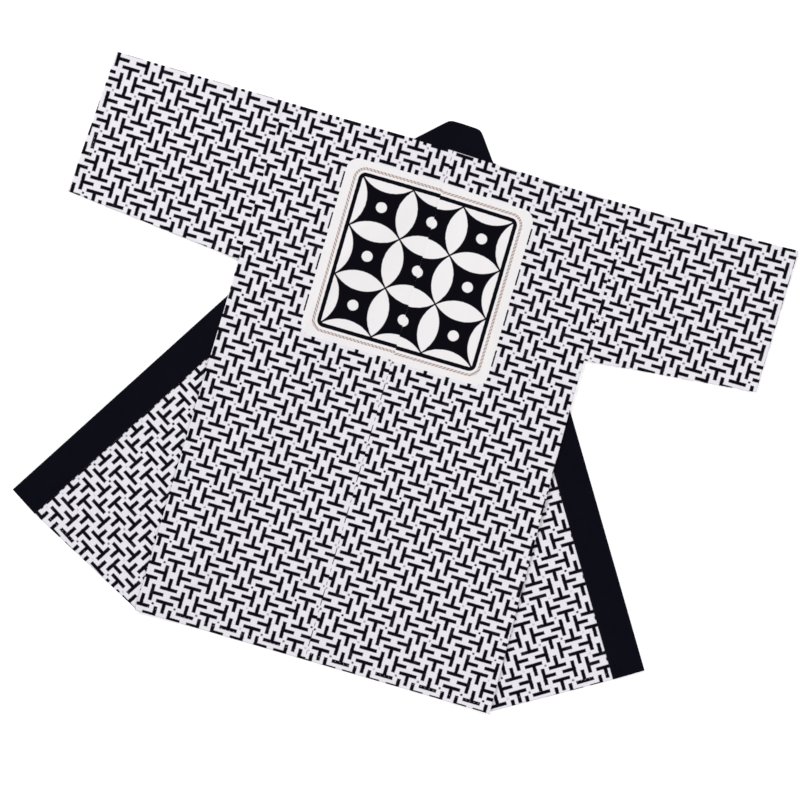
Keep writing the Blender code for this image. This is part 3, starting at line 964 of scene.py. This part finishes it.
def one_bead(length, width, height):
    """Points and faces of a bead: two pointed ends and three rings, 1 wide in the middle ring."""
    along = np.array([-0.36, 0.0, 0.36]) * length
    girth = np.array([0.75, 1.0, 0.75])
    angle = np.arange(STITCH_AROUND) * math.tau / STITCH_AROUND
    rings = [(x, r * width / 2 * math.cos(t), r * height * math.sin(t))
             for x, r in zip(along, girth) for t in angle]
    points = np.array([(-length / 2, 0, 0)] + rings + [(length / 2, 0, 0)])
    faces = []
    for k in range(STITCH_AROUND):
        near, far = 1 + k, 1 + (k + 1) % STITCH_AROUND
        last = 1 + 2 * STITCH_AROUND
        faces += [(0, far, near), (last + STITCH_AROUND, last + k, last + far - 1)]
        for ring in (0, STITCH_AROUND):
            faces.append((near + ring, far + ring, far + ring + STITCH_AROUND, near + ring + STITCH_AROUND))
    return points, faces


def sew(name, lines, material, length=0.0034, pitch=0.0054, width=0.0007, height=0.00022):
    """One mesh with a bead at every pitch along each line, turned and tilted along it."""
    middles, ways = [], []
    for line in lines:
        reach = np.concatenate([[0], np.cumsum(np.linalg.norm(np.diff(line, axis=0), axis=1))])
        at = np.arange(pitch / 2, reach[-1] - pitch / 2, pitch)
        ahead = np.stack([np.interp(at + length / 2, reach, line[:, axis]) for axis in range(3)], axis=1)
        behind = np.stack([np.interp(at - length / 2, reach, line[:, axis]) for axis in range(3)], axis=1)
        middles.append((ahead + behind) / 2)
        ways.append((ahead - behind) / np.linalg.norm(ahead - behind, axis=1, keepdims=True))
    middle, way = np.concatenate(middles), np.concatenate(ways)
    beside = np.cross([0.0, 0.0, 1.0], way)
    beside = beside / np.linalg.norm(beside, axis=1, keepdims=True)
    up = np.cross(way, beside)
    bead, faces = one_bead(length, width, height)
    axes = np.stack([way, beside, up], axis=1)
    points = middle[:, None] + np.einsum("pk,nkx->npx", bead, axes)
    first = np.arange(len(middle))[:, None] * len(bead)
    every = [corners for face in faces for corners in (first + np.array(face)).tolist()]
    mesh = bpy.data.meshes.new(name)
    mesh.from_pydata(points.reshape(-1, 3), [], every)
    around = np.repeat(np.arange(len(middle)), len(bead)) * 0.01
    layer = mesh.uv_layers.new(name="cloth")
    at = np.array([loop.vertex_index for loop in mesh.loops])
    bead_uv = np.stack([np.tile(bead[:, 0], len(middle)) + around, np.tile(bead[:, 1], len(middle))], 1)
    layer.data.foreach_set("uv", bead_uv[at].ravel())
    mesh.materials.append(material)
    mesh.shade_smooth()
    thread = bpy.data.objects.new(name, mesh)
    bpy.context.scene.collection.objects.link(thread)
    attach(thread, "root")
    print(name, "has", len(middle), "stitches")
    return thread


def thread_cotton(name, colour):
    """Matt thread: slanting plies with painted shade in the grooves between them, and a tone that varies from
    stitch to stitch.
    """
    material, tree, shader = new_material(name, 0.02)
    uv, u, v = cloth_coordinates(tree)
    plies = ((u + v * 1.4) * 9000.0).combine("SINE") * 0.5 + 0.5
    # Painted shade: the colour is darker in the grooves between the plies, mixed with a random tone from stitch
    # to stitch.
    shade = plies * 0.5 + noise(tree, uv, 60.0) * 0.5
    colour_with_painted_ply_shade = mix_colour(tree, tuple(c * 0.72 for c in colour), tuple(c * 1.15 for c in colour), shade)
    tree.links.new(colour_with_painted_ply_shade, shader.inputs["Base Color"])
    shader.inputs["Roughness"].default_value = 0.8
    bump = tree.nodes.new("ShaderNodeBump")
    bump.inputs["Strength"].default_value = 0.5
    bump.inputs["Distance"].default_value = 0.0001
    tree.links.new(plies.socket, bump.inputs["Height"])
    tree.links.new(bump.outputs["Normal"], shader.inputs["Normal"])
    return material


# %% Lines to sew along
def hem_lines(lay):
    """The hem's line on the back and on the flare, and the cuff's line on the sleeve."""
    down = np.full(200, BACK_LENGTH - HEM_FOLD + 0.0015)
    out = np.linspace(0.004, half_back(lay, down[0]) - 0.008, 200)
    edge = np.where(out > tuck_line(lay, down), half_back(lay, down) - out, 1.0)
    level = back_height(lay, out, down, edge) + upper_relief(lay, out, down)
    back = place(lay, out, down, level + CLOTH / 2)
    out, down, level = flare_layer(lay, down, np.linspace(0.12, 0.985, 200))
    flare = place(lay, out, down, level + CLOTH / 2)
    share = np.full(200, 1 - (CUFF_FOLD - 0.0015) / (lay["cuff_foot"] - lay["armhole"]))
    out, down, low, high = sleeve_layers(lay, share, np.linspace(0.01, 0.99, 200))
    return [back, flare, place(lay, out, down, high + CLOTH / 2)]


def band_lines(lay):
    """Two lines along the band, 2.5 mm in from its folded edges."""
    free, sewn = band_edges(lay)
    lines = []
    for share in (0.0025 / COLLAR_WIDTH, 1 - 0.0025 / COLLAR_WIDTH):
        plan = free + (sewn - free) * share
        level = band_level(plan, share) + BAND / 2
        lines.append(place(lay, plan[:, 0], plan[:, 1], level))
    return lines


white_lines = [line for lay in LAY.values() for line in hem_lines(lay)]
black_lines = [line for lay in LAY.values() for line in band_lines(lay)]
sew("hem_and_cuff_stitches", white_lines, thread_cotton("white_thread", THREAD_WHITE),
    length=0.0024, pitch=0.0078, width=0.00045, height=0.00016)
sew("collar_stitches", black_lines, thread_cotton("black_thread", THREAD_BLACK))

# %% [markdown]
# The table, the light and the camera
#
# The coat was seen from straight above, turned 16 degrees clockwise.  The camera hangs four metres
# over the table with a long lens, so that the sheet of cloth keeps its shape.  One broad soft light
# comes in low from the upper left and draws the creases, and the pale room fills the shadows.

# %% Stage
TABLE_SIZE = 12.0
TABLE_DROP = 0.0004
TABLE_GLOW = 0.20          # painted glow: the table glows though it is no lamp, which washes out its shadows and shows pure white round the coat
CAMERA_HEIGHT = 4.0
PICTURE_WIDTH = 1.4696     # what the frame takes in, in metres
PICTURE_TURN = math.radians(16.3)
PICTURE_MIDDLE = (0.0337, -0.0062)
SENSOR = 36.0


def area_light(name, place_at, aim, size, power):
    """A square soft light that looks from its place to the aim."""
    data = bpy.data.lights.new(name, "AREA")
    data.shape = "SQUARE"
    data.size = size
    data.energy = power
    lamp = bpy.data.objects.new(name, data)
    bpy.context.scene.collection.objects.link(lamp)
    lamp.location = place_at
    direction = np.asarray(aim, float) - np.asarray(place_at, float)
    flat_reach = math.hypot(direction[0], direction[1])
    lamp.rotation_euler = (math.atan2(flat_reach, -direction[2]), 0,
                           math.atan2(direction[1], direction[0]) - math.pi / 2)
    return lamp


def plain_table():
    """A wide square of pale matt material just under the coat, with a painted glow of its own."""
    half = TABLE_SIZE / 2
    mesh = bpy.data.meshes.new("table")
    mesh.from_pydata([(-half, -half, -TABLE_DROP), (half, -half, -TABLE_DROP),
                      (half, half, -TABLE_DROP), (-half, half, -TABLE_DROP)], [], [(0, 1, 2, 3)])
    material = bpy.data.materials.new("table")
    material.use_nodes = True
    shader = material.node_tree.nodes["Principled BSDF"]
    shader.inputs["Base Color"].default_value = (0.94, 0.94, 0.94, 1)
    shader.inputs["Roughness"].default_value = 0.9
    # Painted glow: the emission makes the table glow though it is no lamp, washing out the coat's shadows on
    # it.
    shader.inputs["Emission Color"].default_value = (1, 1, 1, 1)
    shader.inputs["Emission Strength"].default_value = TABLE_GLOW
    mesh.materials.append(material)
    table = bpy.data.objects.new("table", mesh)
    bpy.context.scene.collection.objects.link(table)
    return table


def overhead_camera():
    """A camera that looks straight down, turned so that the shoulders slope as they were seen."""
    data = bpy.data.cameras.new("camera")
    data.sensor_width = SENSOR
    data.lens = SENSOR * CAMERA_HEIGHT / PICTURE_WIDTH
    camera = bpy.data.objects.new("camera", data)
    bpy.context.scene.collection.objects.link(camera)
    camera.location = (*PICTURE_MIDDLE, CAMERA_HEIGHT)
    camera.rotation_euler = (0, 0, PICTURE_TURN)
    bpy.context.scene.camera = camera
    return camera


plain_table()
overhead_camera()
area_light("key light", (-4.4, 3.2, 3.5), (0, 0, 0), 2.6, 340)
area_light("fill light", (2.6, -1.2, 3.2), (0, 0, 0), 2.6, 78)
world = bpy.data.worlds.new("pale room")
world.use_nodes = True
world.node_tree.nodes["Background"].inputs["Color"].default_value = (1, 1, 1, 1)
world.node_tree.nodes["Background"].inputs["Strength"].default_value = 0.46
bpy.context.scene.world = world
bpy.context.scene.view_settings.view_transform = "Standard"
print("camera lens:", round(bpy.context.scene.camera.data.lens, 1), "mm")
